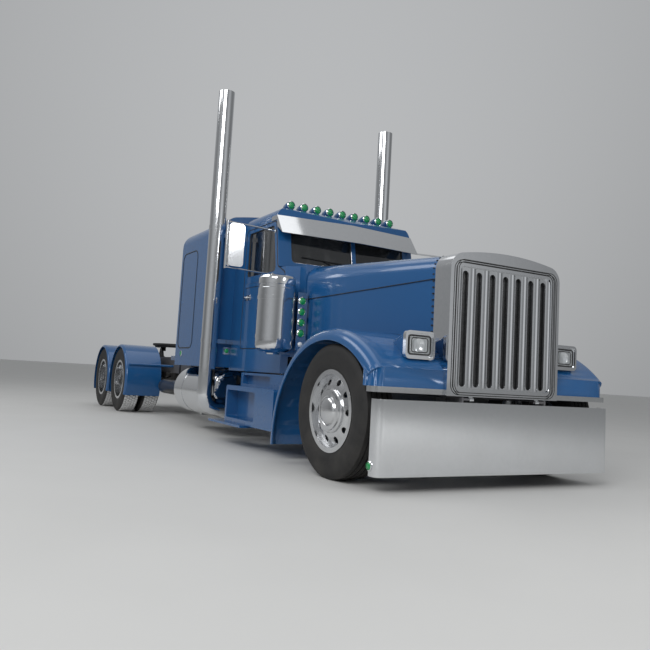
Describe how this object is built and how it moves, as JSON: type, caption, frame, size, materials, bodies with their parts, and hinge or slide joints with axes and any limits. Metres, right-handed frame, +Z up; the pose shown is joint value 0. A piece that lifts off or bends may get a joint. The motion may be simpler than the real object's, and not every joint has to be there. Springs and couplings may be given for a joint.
{
  "type": "semi truck tractor unit",
  "caption": "Long-nose semi truck tractor unit with sleeper, tilting hood, upright-slot grille, deep bumper, exhaust stacks, opening doors and steered front wheels.",
  "frame": {"origin": "middle of the length and width of the whole truck, on the ground under the tyres", "axes": "+X forward to the bumper, +Y to the driver's left, +Z up"},
  "size_m": [9.93, 3.004, 4.2],
  "materials": {
    "frame": "satin grey paint",
    "forged_metal": "satin black forging",
    "engine_metal": "grey casting",
    "core": "matt black core",
    "chrome": "mirror plated",
    "blue_paint": "deep gloss blue",
    "smoked_glass": "smoked clear",
    "green_lens": "clear green lens",
    "red_lens": "clear red lens",
    "tread_plate": "bright raised pattern",
    "black_paint": "gloss black",
    "leather": "grained dark leather",
    "lamp_glass": "clear fluted glass",
    "tyre_rubber": "matt rubber",
    "polished_wheel": "polished"
  },
  "bodies": {
    "chassis": {"frame": "frame", "front_axle": "forged_metal", "front_springs": "forged_metal", "rear_axles": "forged_metal", "rear_suspension": "forged_metal", "driveshafts": "forged_metal", "engine": "engine_metal", "radiator": "core", "bumper": "chrome", "cab_shell": "blue_paint", "windscreen": "smoked_glass", "visor": "chrome", "sleeper": "blue_paint", "roof_lamp_housings": "blue_paint", "marker_lamps": "green_lens", "air_cleaners": "chrome", "exhaust_stacks": "chrome", "fuel_tanks": "chrome", "step_boxes": "blue_paint", "rear_fenders": "blue_paint", "deck_plate": "tread_plate", "air_tanks": "black_paint", "fifth_wheel_base": "forged_metal", "tail_bar": "chrome", "tail_lamps": "red_lens", "cab_interior": "leather"},
    "hood_body": {"hood": "blue_paint", "front_fenders": "blue_paint", "grille_shell": "chrome", "grille_bars": "chrome", "headlamp_pods": "blue_paint", "headlamp_bezels": "chrome", "headlamp_lenses": "lamp_glass", "fender_strips": "chrome"},
    "door_right_body": {"door_right": "blue_paint", "door_glass_right": "smoked_glass", "mirror_right": "chrome"},
    "door_left_body": {"door_left": "blue_paint", "door_glass_left": "smoked_glass", "mirror_left": "chrome"},
    "knuckle_left_body": {"knuckle_left": "forged_metal"},
    "knuckle_right_body": {"knuckle_right": "forged_metal"},
    "tie_rod_body": {"tie_rod": "forged_metal"},
    "wheel_front_left": {"tyre_front_left": "tyre_rubber", "rim_front_left": "polished_wheel"},
    "wheel_front_right": {"tyre_front_right": "tyre_rubber", "rim_front_right": "polished_wheel"},
    "wheel_rear1_left": {"tyres_rear1_left": "tyre_rubber", "rims_rear1_left": "polished_wheel"},
    "wheel_rear1_right": {"tyres_rear1_right": "tyre_rubber", "rims_rear1_right": "polished_wheel"},
    "wheel_rear2_left": {"tyres_rear2_left": "tyre_rubber", "rims_rear2_left": "polished_wheel"},
    "wheel_rear2_right": {"tyres_rear2_right": "tyre_rubber", "rims_rear2_right": "polished_wheel"},
    "fifth_wheel_body": {"fifth_wheel_plate": "forged_metal"}
  },
  "joints": [
    {"name": "hood_tilt", "type": "hinge", "parent": "chassis", "child": "hood_body", "pos_m": [4.945, 0, 0.698], "axis": [0, 1, 0], "range_deg": [0, 75]},
    {"name": "door_right_hinge", "type": "hinge", "parent": "chassis", "child": "door_right_body", "pos_m": [2.653, -0.904, 1.48], "axis": [0, 0, 1], "range_deg": [0, 70]},
    {"name": "door_left_hinge", "type": "hinge", "parent": "chassis", "child": "door_left_body", "pos_m": [2.653, 0.904, 1.48], "axis": [0, 0, -1], "range_deg": [0, 70]},
    {"name": "steer_left", "type": "hinge", "parent": "chassis", "child": "knuckle_left_body", "pos_m": [4.255, 0.88, 0.54], "axis": [0, 0, 1], "range_deg": [-35, 35]},
    {"name": "steer_right", "type": "hinge", "parent": "chassis", "child": "knuckle_right_body", "pos_m": [4.255, -0.88, 0.54], "axis": [0, 0, 1], "range_deg": [-35, 35]},
    {"name": "tie_rod_swing", "type": "hinge", "parent": "knuckle_left_body", "child": "tie_rod_body", "pos_m": [4.055, 0.88, 0.394], "axis": [0, 0, 1], "range_deg": [-35, 35]},
    {"name": "spin_front_left", "type": "hinge", "parent": "knuckle_left_body", "child": "wheel_front_left", "pos_m": [4.255, 1.082, 0.54], "axis": [0, 1, 0], "continuous": true},
    {"name": "spin_front_right", "type": "hinge", "parent": "knuckle_right_body", "child": "wheel_front_right", "pos_m": [4.255, -1.082, 0.54], "axis": [0, 1, 0], "continuous": true},
    {"name": "spin_rear1_left", "type": "hinge", "parent": "chassis", "child": "wheel_rear1_left", "pos_m": [-2.945, 0.9145, 0.54], "axis": [0, 1, 0], "continuous": true},
    {"name": "spin_rear1_right", "type": "hinge", "parent": "chassis", "child": "wheel_rear1_right", "pos_m": [-2.945, -0.9145, 0.54], "axis": [0, 1, 0], "continuous": true},
    {"name": "spin_rear2_left", "type": "hinge", "parent": "chassis", "child": "wheel_rear2_left", "pos_m": [-4.265, 0.9145, 0.54], "axis": [0, 1, 0], "continuous": true},
    {"name": "spin_rear2_right", "type": "hinge", "parent": "chassis", "child": "wheel_rear2_right", "pos_m": [-4.265, -0.9145, 0.54], "axis": [0, 1, 0], "continuous": true},
    {"name": "fifth_wheel_tilt", "type": "hinge", "parent": "chassis", "child": "fifth_wheel_body", "pos_m": [-3.545, 0, 1.13], "axis": [0, 1, 0], "range_deg": [-15, 15]}
  ],
  "couplings": [
    {"joint": "steer_right", "follows": "steer_left", "ratio": 1},
    {"joint": "tie_rod_swing", "follows": "steer_left", "ratio": -1}
  ]
}
